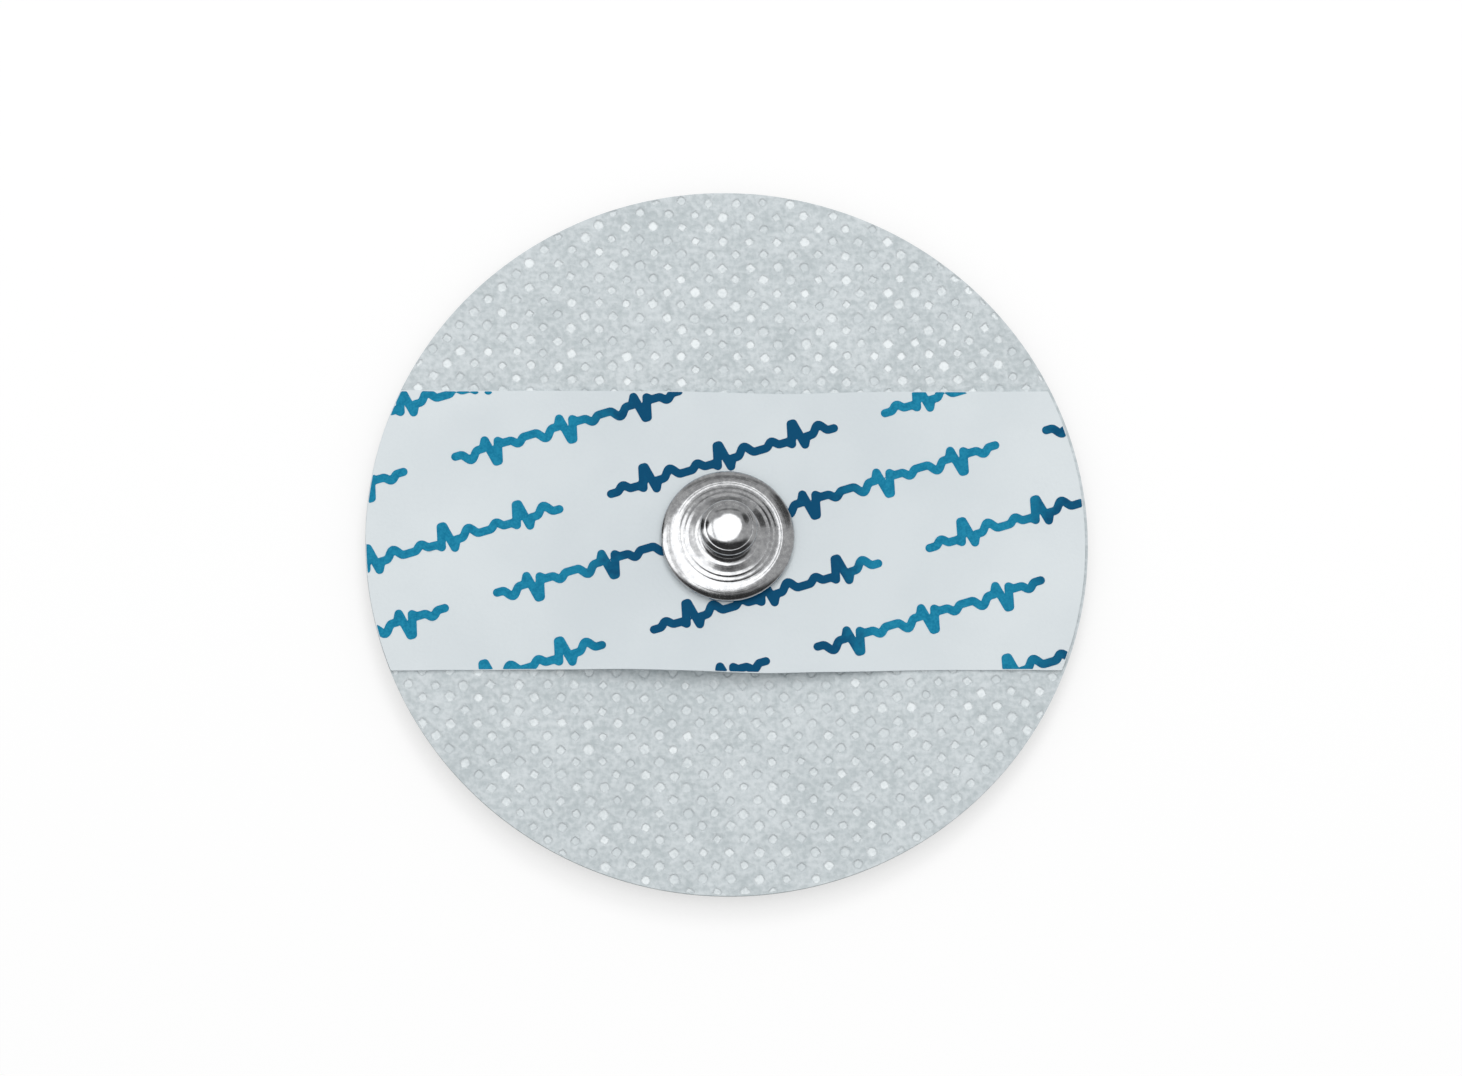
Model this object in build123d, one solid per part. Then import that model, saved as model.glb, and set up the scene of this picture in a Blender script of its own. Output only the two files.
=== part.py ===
from build123d import *
import os
from math import hypot

# Round disposable monitoring electrode: a nonwoven adhesive disc with a paper strip across it,
# a plastic sensor rivet pressed up through it into a stamped snap stud, and a gel pad underneath.
# Millimetres, +Z up. The origin is on the stud's axis, in the plane of the gel pad's skin face.

# Disc of tape and its adhesive coat
disc_diameter = 50.0
tape_thickness = 0.34
adhesive_thickness = 0.06

# Gel pad
pad_diameter = 18.0
pad_thickness = 1.2
pad_edge_round = 0.12

# Paper strip across the disc, laid a little above the middle
label_width = 19.9
label_offset = 0.55
label_end_inset = 0.2
label_thickness = 0.10

# Bond dots pressed into the nonwoven: diamonds in staggered rows
dot_width = 0.62
dot_depth = 0.08
dot_pitch = 1.93
dot_row_pitch = 0.905
dot_origin_x = -0.05
dot_origin_y = -0.44
dot_row_lean_share = -0.0096
dot_edge_margin = 0.05

# Printed pulse traces on the strip
ink_thickness = 0.02
ink_stroke = 0.5
trace_length = 16.2
trace_pitch = 19.95
trace_row_pitch = 5.05
trace_row_angle = 16.95
trace_rows = 7
trace_first_row_offset = 15.7
upright_trace_start = -6.8
turned_trace_start = 3.6
trace_half_height = 0.92
beats_per_trace = 3
ink_flange_margin = 0.03

# One heart beat of the trace: along its length and across its half height
beat_shares = [
    (0.07, -0.34),
    (0.16, 0.16),
    (0.25, -0.34),
    (0.34, -0.34),
    (0.41, -0.66),
    (0.475, 0.84),
    (0.525, 0.84),
    (0.585, -0.84),
    (0.65, -0.34),
    (0.73, -0.34),
    (0.83, 0.38),
    (0.93, -0.34),
]

# Stamped stud
stud_sheet = 0.25
flange_diameter = 9.25
bead_radius = 0.42
bead_flat = 0.03
plate_edge_height = 0.60
plate_centre_height = 0.80
riser_radius = 2.30
neck_radius = 1.62
neck_bottom_height = 1.40
neck_top_height = 1.62
head_diameter = 3.95
belt_bottom_height = 2.05
belt_top_height = 2.45
crease_radius = 1.63
crease_height = 2.85
stud_height = 3.40
ring_radii = [2.72, 3.02, 3.42]
ring_round = 0.07
ring_depth = 0.035

# Sensor rivet, silver coated
rivet_flange_diameter = 9.6
rivet_flange_thickness = 0.5
rivet_edge_round = 0.15
rivet_tip_chamfer = 0.15
rivet_tip_headroom = 0.1
press_clearance = 0.02
punch_clearance = 0.1
pocket_clearance = 0.1

# Sizes that follow
disc_radius = disc_diameter / 2
flange_radius = flange_diameter / 2
head_radius = head_diameter / 2
rivet_flange_radius = rivet_flange_diameter / 2
post_radius = neck_radius - stud_sheet - press_clearance
punch_radius = post_radius + punch_clearance
bead_centre_radius = flange_radius - bead_radius
bead_centre_height = bead_radius - bead_flat
bead_hollow_radius = bead_radius - stud_sheet

# Levels of the stack
adhesive_level = pad_thickness
tape_level = adhesive_level + adhesive_thickness
label_level = tape_level + tape_thickness
ink_level = label_level + label_thickness


def layer(outline, level, thickness):
    """A flat sheet cut to an outline."""
    return Pos(0, 0, level) * extrude(outline, amount=thickness)


def turned(section, level):
    """A solid of revolution about the stud's axis from a section drawn as radius and height."""
    return Pos(0, 0, level) * revolve(Plane.XZ * section, Axis.Z)


def punched(outline):
    """The outline with the hole that the rivet's post passes through."""
    return outline - Circle(punch_radius)


def strip_outline():
    """The strip: its ends follow the disc's edge, set back from it."""
    band = Pos(0, label_offset) * Rectangle(disc_diameter, label_width)
    return Circle(disc_radius - label_end_inset) & band


def dot_places():
    """Centres of the bond dots that the strip leaves in view."""
    reach = disc_radius - dot_width / 2 - dot_edge_margin
    rows = int(disc_radius / dot_row_pitch) + 1
    columns = int(disc_radius / dot_pitch) + 1
    places = []
    for row in range(-rows, rows + 1):
        y = dot_origin_y + row * dot_row_pitch
        shift = dot_origin_x + y * dot_row_lean_share + (row % 2) * dot_pitch / 2
        for column in range(-columns, columns + 1):
            x = shift + column * dot_pitch
            if hypot(x, y) < reach and abs(y - label_offset) > label_width / 2:
                places.append((x, y))
    return places


def nonwoven_tape():
    """The tape: a full sheet below, and above it the loft that the bond dots are pressed through."""
    base = layer(punched(Circle(disc_radius)), tape_level, tape_thickness - dot_depth)
    half = dot_width / 2
    corners = [(half, 0), (0, half), (-half, 0), (0, -half)]
    dots = [
        Wire.make_polygon([(x + dx, y + dy) for dx, dy in corners], close=True)
        for x, y in dot_places()
    ]
    rim = Wire.make_circle(disc_radius)
    hole = Wire.make_circle(punch_radius)
    loft = layer(Face(rim, [hole] + dots), label_level - dot_depth, dot_depth)
    return base + loft


def trace_block():
    """One printed trace, lying along X from its start and centred on its row."""
    beat_length = trace_length / beats_per_trace
    points = [(0, beat_shares[0][1] * trace_half_height)]
    for beat in range(beats_per_trace):
        for along, across in beat_shares:
            points.append(((beat + along) * beat_length, across * trace_half_height))
    points.append((trace_length, beat_shares[-1][1] * trace_half_height))
    path = Polyline(*points)
    stroke = offset(path, ink_stroke / 2, kind=Kind.INTERSECTION, side=Side.BOTH, closed=True)
    return make_face(stroke)


def label_print():
    """Slanted rows of pulse traces, every other row turned upside down, cut off at the strip's edge."""
    block = trace_block()
    field = strip_outline() - Circle(flange_radius + ink_flange_margin)
    copies = int(disc_diameter / trace_pitch) + 1
    blocks = []
    for row in range(trace_rows):
        across = trace_first_row_offset - row * trace_row_pitch
        for copy in range(-copies, copies + 1):
            if row % 2 == 0:
                placed = Pos(upright_trace_start + copy * trace_pitch, across) * block
            else:
                start = turned_trace_start + trace_length + copy * trace_pitch
                placed = Pos(start, across) * Rot(0, 0, 180) * block
            blocks.append(Rot(0, 0, trace_row_angle) * placed)
    pieces = []
    for block in blocks:
        seen = block & field
        if seen is not None:
            pieces += [face for face in seen.faces() if face.area > ink_stroke * ink_stroke / 2]
    return [layer(face, ink_level, ink_thickness) for face in pieces]


def stud_wall():
    """Half section of the stamped sheet: dished plate, concave riser, neck, head and domed cap."""
    plate_end = bead_centre_radius - (bead_radius + bead_hollow_radius) / 2
    inner_neck = neck_radius - stud_sheet
    inner_head = head_radius - stud_sheet
    inner_crease = crease_radius - stud_sheet
    down = (0, -1)
    up = (0, 1)
    plate_rim = (plate_end, plate_edge_height)
    plate_foot = (riser_radius, plate_centre_height)
    neck_foot = (neck_radius, neck_bottom_height)
    neck_top = (neck_radius, neck_top_height)
    belt_foot = (head_radius, belt_bottom_height)
    belt_top = (head_radius, belt_top_height)
    crease = (crease_radius, crease_height)
    cap_top = (0, stud_height)
    inside_plate_rim = (plate_end, plate_edge_height - stud_sheet)
    inside_plate_foot = (riser_radius, plate_centre_height - stud_sheet)
    inside_neck_foot = (inner_neck, neck_bottom_height)
    inside_neck_top = (inner_neck, neck_top_height)
    inside_belt_foot = (inner_head, belt_bottom_height)
    inside_belt_top = (inner_head, belt_top_height)
    inside_crease = (inner_crease, crease_height - stud_sheet / 2)
    inside_cap_top = (0, stud_height - stud_sheet)
    across = (-1, 0)
    outline = [
        Line(plate_rim, plate_foot),
        TangentArc(neck_foot, plate_foot, tangent=down),
        Line(neck_foot, neck_top),
        TangentArc(belt_foot, neck_top, tangent=down),
        Line(belt_foot, belt_top),
        TangentArc(belt_top, crease, tangent=up),
        TangentArc(cap_top, crease, tangent=(1, 0)),
        Line(cap_top, inside_cap_top),
        TangentArc(inside_cap_top, inside_crease, tangent=(1, 0)),
        TangentArc(inside_belt_top, inside_crease, tangent=up),
        Line(inside_belt_top, inside_belt_foot),
        TangentArc(inside_belt_foot, inside_neck_top, tangent=down),
        Line(inside_neck_top, inside_neck_foot),
        TangentArc(inside_neck_foot, inside_plate_foot, tangent=down),
        Line(inside_plate_foot, inside_plate_rim),
        Line(inside_plate_rim, plate_rim),
    ]
    return make_face(outline)


def stud_bead():
    """Half section of the flange's rolled edge: a curl, open underneath and pressed flat on the strip."""
    place = Pos(bead_centre_radius, bead_centre_height)
    curl = place * (Circle(bead_radius) - Circle(bead_hollow_radius))
    below = Pos(bead_centre_radius, -bead_radius) * Rectangle(2 * bead_radius, 2 * bead_radius)
    mouth_edge = bead_centre_radius - bead_hollow_radius
    mouth_height = plate_edge_height - stud_sheet
    mouth = Pos(mouth_edge - bead_radius, mouth_height / 2) * Rectangle(2 * bead_radius, mouth_height)
    return curl - below - mouth


def plate_rings():
    """Half sections of the fine rings turned into the plate."""
    slope = (plate_centre_height - plate_edge_height) / (bead_centre_radius - riser_radius)
    rings = []
    for radius in ring_radii:
        surface = plate_edge_height + (bead_centre_radius - radius) * slope
        rings.append(Pos(radius, surface + ring_round - ring_depth) * Circle(ring_round))
    return rings


def snap_stud():
    """The stamped and rolled snap stud."""
    section = stud_wall() + stud_bead()
    for ring in plate_rings():
        section -= ring
    return turned(section, ink_level)


def sensor_rivet():
    """The coated sensor: a flange against the skin side and a post pressed up into the stud's head."""
    tip = crease_height - stud_sheet - rivet_tip_headroom
    height = ink_level + tip - adhesive_level
    flange = Cylinder(rivet_flange_radius, rivet_flange_thickness, align=(Align.CENTER, Align.CENTER, Align.MAX))
    flange = fillet(flange.edges().group_by(Axis.Z)[0], rivet_edge_round)
    post = Cylinder(post_radius, height, align=(Align.CENTER, Align.CENTER, Align.MIN))
    post = chamfer(post.edges().group_by(Axis.Z)[-1], rivet_tip_chamfer)
    return Pos(0, 0, adhesive_level) * (flange + post)


def gel_pad():
    """Open-cell foam disc soaked with conductive gel, with a pocket pressed by the rivet's flange."""
    pad = Cylinder(pad_diameter / 2, pad_thickness, align=(Align.CENTER, Align.CENTER, Align.MIN))
    pad = fillet(pad.edges().group_by(Axis.Z)[0], pad_edge_round)
    pocket_radius = rivet_flange_radius + pocket_clearance
    pocket = Circle(pocket_radius)
    return pad - layer(pocket, pad_thickness - rivet_flange_thickness, rivet_flange_thickness)


pieces = {
    "gel_pad": gel_pad(),
    "adhesive_coat": layer(punched(Circle(disc_radius)), adhesive_level, adhesive_thickness),
    "nonwoven_tape": nonwoven_tape(),
    "label_strip": layer(punched(strip_outline()), label_level, label_thickness),
    "label_print": Compound(label_print()),
    "sensor_rivet": sensor_rivet(),
    "snap_stud": snap_stud(),
}

os.makedirs("parts", exist_ok=True)
for name, piece in pieces.items():
    export_step(piece, f"parts/{name}.step")
    print(name, round(piece.volume, ndigits=3), piece.bounding_box())
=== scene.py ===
# %% [markdown]
# # A disposable monitoring electrode
#
# The object is a soft disc of nonwoven tape, 50 mm across, with a coated paper strip laid over it.
# A bright snap stud sits in the middle, and a wet gel pad is on the skin side.
#
# This lesson dresses a imported CAD model. The model gives every place and size, in metres. Each thin
# layer is then rebuilt as a finer mesh, because a CAD sheet is too flat and too clean to look real.
# The first cell loads the model and brings every node's mesh into world space.

# %% Load the imported model
import math
import random

import bpy
import numpy as np
from mathutils import Matrix, Vector, noise
from mathutils.geometry import delaunay_2d_cdt


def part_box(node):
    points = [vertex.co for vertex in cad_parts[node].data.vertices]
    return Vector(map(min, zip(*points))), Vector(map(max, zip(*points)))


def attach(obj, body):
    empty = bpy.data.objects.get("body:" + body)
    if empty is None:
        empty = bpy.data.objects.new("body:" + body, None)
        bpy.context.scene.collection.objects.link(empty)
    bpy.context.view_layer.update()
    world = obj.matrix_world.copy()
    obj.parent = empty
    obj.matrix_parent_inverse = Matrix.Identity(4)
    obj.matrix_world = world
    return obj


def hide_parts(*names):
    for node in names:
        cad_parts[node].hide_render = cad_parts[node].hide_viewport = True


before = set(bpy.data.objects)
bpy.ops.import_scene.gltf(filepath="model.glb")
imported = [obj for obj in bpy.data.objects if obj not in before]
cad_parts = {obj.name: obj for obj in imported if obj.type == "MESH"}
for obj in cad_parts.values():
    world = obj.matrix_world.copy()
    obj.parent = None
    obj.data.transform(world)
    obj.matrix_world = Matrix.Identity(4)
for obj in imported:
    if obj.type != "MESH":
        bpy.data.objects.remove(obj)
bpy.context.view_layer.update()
print("CAD nodes:", sorted(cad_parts))

# %% [markdown]
# ## Sizes
#
# The layers are a few tenths of a millimetre thick, so the plans below are drawn in millimetres and
# scaled by `MM` once, when a mesh is made. Levels and radii are read from the boxes of the CAD nodes.

# %% Read the levels of the stack
MM = 0.001


def levels(node):
    """Lowest and highest level of a CAD node, in millimetres."""
    low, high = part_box(node)
    return low.z / MM, high.z / MM


def reach(node):
    """Half the width of a CAD node along X, in millimetres."""
    low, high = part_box(node)
    return (high.x - low.x) / 2 / MM


pad_bottom, pad_top = levels("gel_pad")
adhesive_bottom, adhesive_top = levels("adhesive_coat")
tape_bottom, tape_top = levels("nonwoven_tape")
paper_bottom, paper_top = levels("label_strip")
ink_bottom, ink_top = levels("label_print")
stud_seat, stud_top = levels("snap_stud")
disc_radius = reach("nonwoven_tape")
strip_end_radius = reach("label_strip")
flange_radius = reach("snap_stud")
pad_radius = reach("gel_pad")
strip_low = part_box("label_strip")[0].y / MM
strip_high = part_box("label_strip")[1].y / MM
post_hole_radius = 1.45
print("tape from", round(tape_bottom, 2), "to", round(tape_top, 2), "mm, disc radius", round(disc_radius, 2))

# %% [markdown]
# ## The camera
#
# The photograph looks down on the disc from its lower edge, a little from the left. The disc shows
# as an ellipse 0.972 as high as it is wide, and the stud's tall parts lean up the picture by 3.4
# pixels for each millimetre. Both say that the camera is tilted 13.7 degrees off the vertical.

# %% Place the camera
photo_width = 1462
focal_pixels = 4337.5
camera_distance = 300.0
camera_azimuth = math.radians(-7.7)
camera_elevation = math.radians(76.3)
camera_roll = math.radians(-0.4)
camera_aim = Vector((0.24, -0.03, tape_top))


def direction(azimuth, elevation):
    """Unit vector from the object towards an azimuth, where 0 is the viewer's side, and an elevation."""
    level = math.cos(elevation)
    return Vector((math.sin(azimuth) * level, -math.cos(azimuth) * level, math.sin(elevation)))


camera_data = bpy.data.cameras.new("camera")
camera_data.sensor_width = 36
camera_data.lens = camera_data.sensor_width * focal_pixels / photo_width
camera_data.clip_start = 0.01
camera = bpy.data.objects.new("camera", camera_data)
bpy.context.scene.collection.objects.link(camera)
toward_camera = direction(camera_azimuth, camera_elevation)
up = (Vector((0, 1, 0)) - toward_camera * toward_camera.y).normalized()
axes = Matrix((up.cross(toward_camera), up, toward_camera)).transposed().to_4x4()
camera.location = (camera_aim + camera_distance * toward_camera) * MM
camera.matrix_world = Matrix.Translation(camera.location) @ axes @ Matrix.Rotation(camera_roll, 4, "Z")
bpy.context.scene.camera = camera
print("lens", round(camera_data.lens, 1), "mm, camera", round(camera_distance), "mm away")

# %% [markdown]
# ## Writing shaders as arithmetic
#
# A procedural material is a formula over the surface. Blender stores it as nodes, but it reads more
# easily as arithmetic. `Field` wraps one output of a node. Adding, subtracting, multiplying or
# dividing fields makes the Math nodes. All but dividing work in either order, so `1 - mask` works too.
#
# `Nodes` is one node tree. Its `node` method makes every other kind of node: settings come first,
# because some of them change which sockets the node has, and the inputs follow. `Finish` is a
# material, so it adds the shader and short ways to feed it. The world's tree uses `Nodes` alone.

# %% A socket that does arithmetic
class Field:
    """A value that varies over a surface: one output socket, with arithmetic that adds Math nodes."""

    def __init__(self, nodes, socket):
        self.nodes = nodes
        self.socket = socket

    def math(self, operation, first, second):
        settings = {"operation": operation}
        return self.nodes.node("ShaderNodeMath", settings, {0: first, 1: second})

    def __add__(self, other):
        return self.math("ADD", self, other)

    def __sub__(self, other):
        return self.math("SUBTRACT", self, other)

    def __rsub__(self, other):
        return self.math("SUBTRACT", other, self)

    def __mul__(self, other):
        return self.math("MULTIPLY", self, other)

    def __truediv__(self, other):
        return self.math("DIVIDE", self, other)

    __radd__ = __add__
    __rmul__ = __mul__

    def ramp(self, low, high):
        """0 below low, 1 above high, and smooth between them."""
        settings = {"interpolation_type": "SMOOTHSTEP"}
        limits = {"Value": self, "From Min": low, "From Max": high}
        return self.nodes.node("ShaderNodeMapRange", settings, limits)


class Nodes:
    """One node tree and short ways to add nodes to it."""

    def __init__(self, tree):
        self.tree = tree

    def node(self, kind, settings, inputs, output=0):
        """Any node: its settings are made first, then its inputs, from numbers, colours or fields."""
        made = self.tree.nodes.new(kind)
        for name, value in settings.items():
            setattr(made, name, value)
        for name, value in inputs.items():
            self.feed(made.inputs[name], value)
        return Field(self, made.outputs[output])

    def feed(self, socket, value):
        """Links a field to a socket, or sets the socket's own value."""
        if isinstance(value, Field):
            self.tree.links.new(value.socket, socket)
        else:
            socket.default_value = value

    def place(self):
        """The point on the surface in the object's own axes, in metres."""
        return self.node("ShaderNodeTexCoord", {}, {}, "Object")

    def noise(self, size, detail=2.0, stretch=(1, 1, 1)):
        """Soft noise from 0 to 1 whose patches are about `size` millimetres across."""
        scale = {0: self.place(), 1: [1 / (size * MM * share) for share in stretch]}
        point = self.node("ShaderNodeVectorMath", {"operation": "MULTIPLY"}, scale)
        return self.node("ShaderNodeTexNoise", {}, {"Vector": point, "Scale": 1.0, "Detail": detail})

    def attribute(self, name):
        """A number stored on the mesh's vertices."""
        return self.node("ShaderNodeAttribute", {"attribute_name": name}, {}, "Fac")

    def mix(self, share, low, high):
        """A colour between two colours."""
        settings = {"data_type": "RGBA"}
        return self.node("ShaderNodeMix", settings, {0: share, 6: low, 7: high}, 2)

    def seen_rays(self):
        """1 for the rays that show a background, straight or by way of metal or glass, and 0 for light."""
        rays = ("Is Camera Ray", "Is Glossy Ray", "Is Transmission Ray")
        camera, glossy, transmission = (self.node("ShaderNodeLightPath", {}, {}, ray) for ray in rays)
        return camera.math("MAXIMUM", camera.math("MAXIMUM", camera, glossy), transmission)


class Finish(Nodes):
    """One material. Its uniform values are set at once, and what varies is fed to its shader."""

    def __init__(self, name, **uniform):
        self.material = bpy.data.materials.new(name)
        self.material.use_nodes = True
        super().__init__(self.material.node_tree)
        self.shader = self.tree.nodes["Principled BSDF"]
        for socket, value in uniform.items():
            socket_name = socket.replace("_", " ").title().replace("Ior", "IOR")
            self.shader.inputs[socket_name].default_value = value

    def bump(self, height, depth):
        """Bends the shading normal by a height field that is `depth` millimetres high."""
        inputs = {"Height": height, "Distance": depth * MM, "Strength": 1.0}
        self.set("Normal", self.node("ShaderNodeBump", {}, inputs))

    def set(self, socket, value):
        self.feed(self.shader.inputs[socket], value)


print("shader helpers ready")

# %% [markdown]
# ## Thin sheets from a plan
#
# Tape, adhesive and paper are flat sheets cut to an outline. Stacking cubes or scaling a cylinder
# would give a few large faces with nothing to carry creases or dimples. Instead, each sheet starts
# as a plan: its outline, its hole and as many inner points as its relief needs. A constrained
# Delaunay triangulation joins the points, keeps the cut edges exact and puts small triangles only
# where there is detail. The plan is then lifted by a height for each point, and gets an underside
# and walls, so that every sheet is a closed solid.

# %% Outlines and triangulated plans
def ring(radius, count, centre=(0.0, 0.0)):
    """Points round a circle."""
    turns = [2 * math.pi * step / count for step in range(count)]
    return [(centre[0] + radius * math.cos(a), centre[1] + radius * math.sin(a)) for a in turns]


def triangulate(outline, hole, inner):
    """Points and triangles of the sheet between an outline and a hole, with the inner points in it."""
    points = [Vector(p) for p in [*outline, *hole, *inner]]
    rim = list(range(len(outline)))
    eye = list(range(len(outline), len(outline) + len(hole)))
    faces = [rim, eye] if hole else [rim]
    found = delaunay_2d_cdt(points, [], faces, 0, 1e-6, True)
    places, triangles, source, owners = found[0], found[2], found[3], found[5]
    kept = [t for t, own in zip(triangles, owners) if 0 in own and 1 not in own]
    number = {ids[0]: new for new, ids in enumerate(source) if ids}
    plan = np.array([tuple(p) for p in places])
    return plan, kept, [number[i] for i in rim], [number[i] for i in eye], source


crisp_angle = math.radians(50)


def new_piece(name, points, faces, smooth=True):
    """A mesh object from points in millimetres."""
    mesh = bpy.data.meshes.new(name)
    mesh.from_pydata([tuple(p) for p in np.asarray(points) * MM], [], faces)
    mesh.validate()
    mesh.shade_smooth() if smooth else mesh.shade_flat()
    piece = bpy.data.objects.new(name, mesh)
    bpy.context.scene.collection.objects.link(piece)
    return piece


def solid_sheet(name, outline, hole, inner, top, thickness, flat_underside=None):
    """A closed sheet. `top` gives the upper level over the plan; the underside follows it or is flat."""
    plan, triangles, rim, eye, source = triangulate(outline, hole, inner)
    upper = np.column_stack([plan, top(plan, source)])
    count = len(plan)
    if flat_underside is None:
        lower = upper - [0, 0, thickness]
        under = [(a + count, c + count, b + count) for a, b, c in triangles]
    else:
        edge = rim + eye
        lower = np.column_stack([plan[edge], np.full(len(edge), flat_underside)])
        _, low_triangles, low_rim, low_eye, _ = triangulate(
            [tuple(p) for p in plan[rim]], [tuple(p) for p in plan[eye]], []
        )
        order = {new: old for old, new in enumerate(low_rim + low_eye)}
        under = [tuple(count + order[i] for i in (a, c, b)) for a, b, c in low_triangles]
    below = (
        {i: i + count for i in rim + eye}
        if flat_underside is None
        else {i: count + place for place, i in enumerate(rim + eye)}
    )
    walls = []
    for loop in (rim, eye[::-1]):
        for here, there in zip(loop, loop[1:] + loop[:1]):
            walls.append((here, below[here], below[there], there))
    piece = new_piece(name, np.vstack([upper, lower]), [*triangles, *under, *walls])
    mark_edges(piece)
    return piece, plan, source


def mark_edges(piece, angle=crisp_angle):
    """Keeps cut edges crisp while the rest is shaded smooth."""
    piece.data.set_sharp_from_angle(angle=angle)


print("sheet helpers ready")

# %% [markdown]
# ## The nonwoven tape
#
# Spunbond nonwoven is a felt of fine plastic threads. A heated roller with raised diamonds melts it
# together at staggered dots, so each dot is a small, smooth, slightly shiny pit in a matt, cloudy
# ground. The rows are those of the photograph, with the slow warp of a cloth that was pulled while
# it was made. Dots vary in size, turn, depth and paleness at random. The dots in the upper half are
# also painted paler, a painted sheen where they catch more light.

# %% Lay out the bond dots
dot_pitch = 1.93
dot_row_pitch = 0.912
dot_origin = (0.72, 0.32)
dot_reach = 0.36
dot_depth = 0.065
dot_stray = 0.045
dot_ring_shares = [(1.58, 0.0), (1.26, 0.14), (1.02, 0.50), (0.78, 0.88), (0.45, 1.0)]
# Mean and spread of the dots' paleness in the upper and lower half. The upper half's higher mean is painted
# sheen; the spread is the dots' own random tone.
dot_tones_and_sheen = {True: (0.25, 1.1), False: (-0.45, 0.8)}
points_per_ring = 12
round_from_share = 1.2
rim_margin = 0.12
strip_overlap = 0.5
stretch = {
    (0, 0): (0.11, -0.02), (0, 1): (-0.245, -0.449), (0, 2): (0.077, 0.408), (0, 3): (0.125, 0.363),
    (1, 0): (-0.103, 0.053), (1, 1): (0.068, -0.26), (1, 2): (0.032, -0.227),
    (2, 0): (0.177, 0.539), (2, 1): (-0.302, 0.376), (3, 0): (0.117, 0.211),
}
random.seed(4)


def stretched(x, y):
    """Where a point of the even lattice comes to lie in the cloth, which was pulled as it was made."""
    shares = {power: (x / disc_radius) ** power[0] * (y / disc_radius) ** power[1] for power in stretch}
    return (
        x + sum(shares[power] * move[0] for power, move in stretch.items()),
        y + sum(shares[power] * move[1] for power, move in stretch.items()),
    )


class Dot:
    """One bond dot: its centre and how it differs from the next one."""

    def __init__(self, x, y):
        self.x = x
        self.y = y
        self.size = random.uniform(0.84, 1.12)
        self.turn = random.uniform(-0.25, 0.25)
        self.squareness = random.uniform(1.15, 1.65)
        self.depth = dot_depth * random.uniform(0.5, 1.2)
        # Random tone, plus painted sheen that makes the upper half's dots paler.
        middle, spread = dot_tones_and_sheen[y > 0]
        self.tone = random.gauss(0.0, 1.0) * spread + middle

    def outline(self, share):
        """Points round the dot, a diamond with rounded corners, at a share of its reach."""
        points = []
        for step in range(points_per_ring):
            angle = 2 * math.pi * step / points_per_ring
            across, along = abs(math.cos(angle)), abs(math.sin(angle))
            power = 2.0 if share > round_from_share else self.squareness
            edge = (across**power + along**power) ** (-1 / power)
            radius = dot_reach * self.size * share * edge
            turned = angle + self.turn
            points.append((self.x + radius * math.cos(turned), self.y + radius * math.sin(turned)))
        return points


def dots_in_view():
    """Every dot on the disc that the strip doesn't hide, in staggered rows."""
    found = []
    rows = int(disc_radius / dot_row_pitch) + 2
    columns = int(disc_radius / dot_pitch) + 2
    for row in range(-rows, rows + 1):
        for column in range(-columns, columns + 1):
            even_x = dot_origin[0] + (column + (row % 2) / 2) * dot_pitch
            x, y = stretched(even_x, dot_origin[1] + row * dot_row_pitch)
            x += random.gauss(0, dot_stray)
            y += random.gauss(0, dot_stray)
            hidden = strip_low + strip_overlap < y < strip_high - strip_overlap
            if math.hypot(x, y) < disc_radius and not hidden:
                found.append(Dot(x, y))
    return found


dots = dots_in_view()
print(len(dots), "bond dots in view")

# %% [markdown]
# Displacing an even grid would blur such small pits. Instead, every dot gets its own rings of points,
# a lip, a wall, a floor and a centre, and the ground between the dots gets a loose triangular grid.
# What the strip hides needs only a few points. Two numbers are kept on each vertex for the material:
# how far it is pressed, and how pale its dot is, from its own random tone and, in the upper half, a painted
# sheen.

# %% Build the tape
ground_spacing = 0.33
hidden_spacing = 1.6
ground_gap_share = 1.64
ground_margin = 0.15
loft_height = 0.028
hidden_sink = 0.02
ridge_level = -20.4
centre_drop_share = 0.92
centre_tone_shift = -0.5


def fill_points(spacing, wanted, jitter=0.3):
    """A jittered triangular grid of points over the disc, where `wanted` says so."""
    points = []
    rows = int(2 * disc_radius / (spacing * 0.866))
    for row in range(rows):
        y = -disc_radius + row * spacing * 0.866
        columns = int(2 * disc_radius / spacing)
        for column in range(columns):
            x = -disc_radius + (column + (row % 2) / 2) * spacing
            x += random.uniform(-jitter, jitter) * spacing
            here = (x, y + random.uniform(-jitter, jitter) * spacing)
            if wanted(*here):
                points.append(here)
    return points


def under_strip(x, y, margin=0.0):
    return strip_low + margin < y < strip_high - margin


dot_table = np.array([(dot.x, dot.y) for dot in dots])


def open_ground(x, y):
    """In view, on the disc and clear of every dot."""
    if math.hypot(x, y) > disc_radius - ground_margin or under_strip(x, y, strip_overlap):
        return False
    gaps = np.hypot(dot_table[:, 0] - x, dot_table[:, 1] - y)
    return gaps.min() > dot_reach * ground_gap_share


def hidden_ground(x, y):
    """Under the strip, clear of the hole and the rim."""
    return under_strip(x, y, 0.7) and post_hole_radius + 0.3 < math.hypot(x, y) < disc_radius - 0.5


def cloud(x, y, size, seed):
    """Smooth noise from -1 to 1 with patches of a given size, in millimetres."""
    return noise.noise(Vector((x / size, y / size, seed)))


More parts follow.
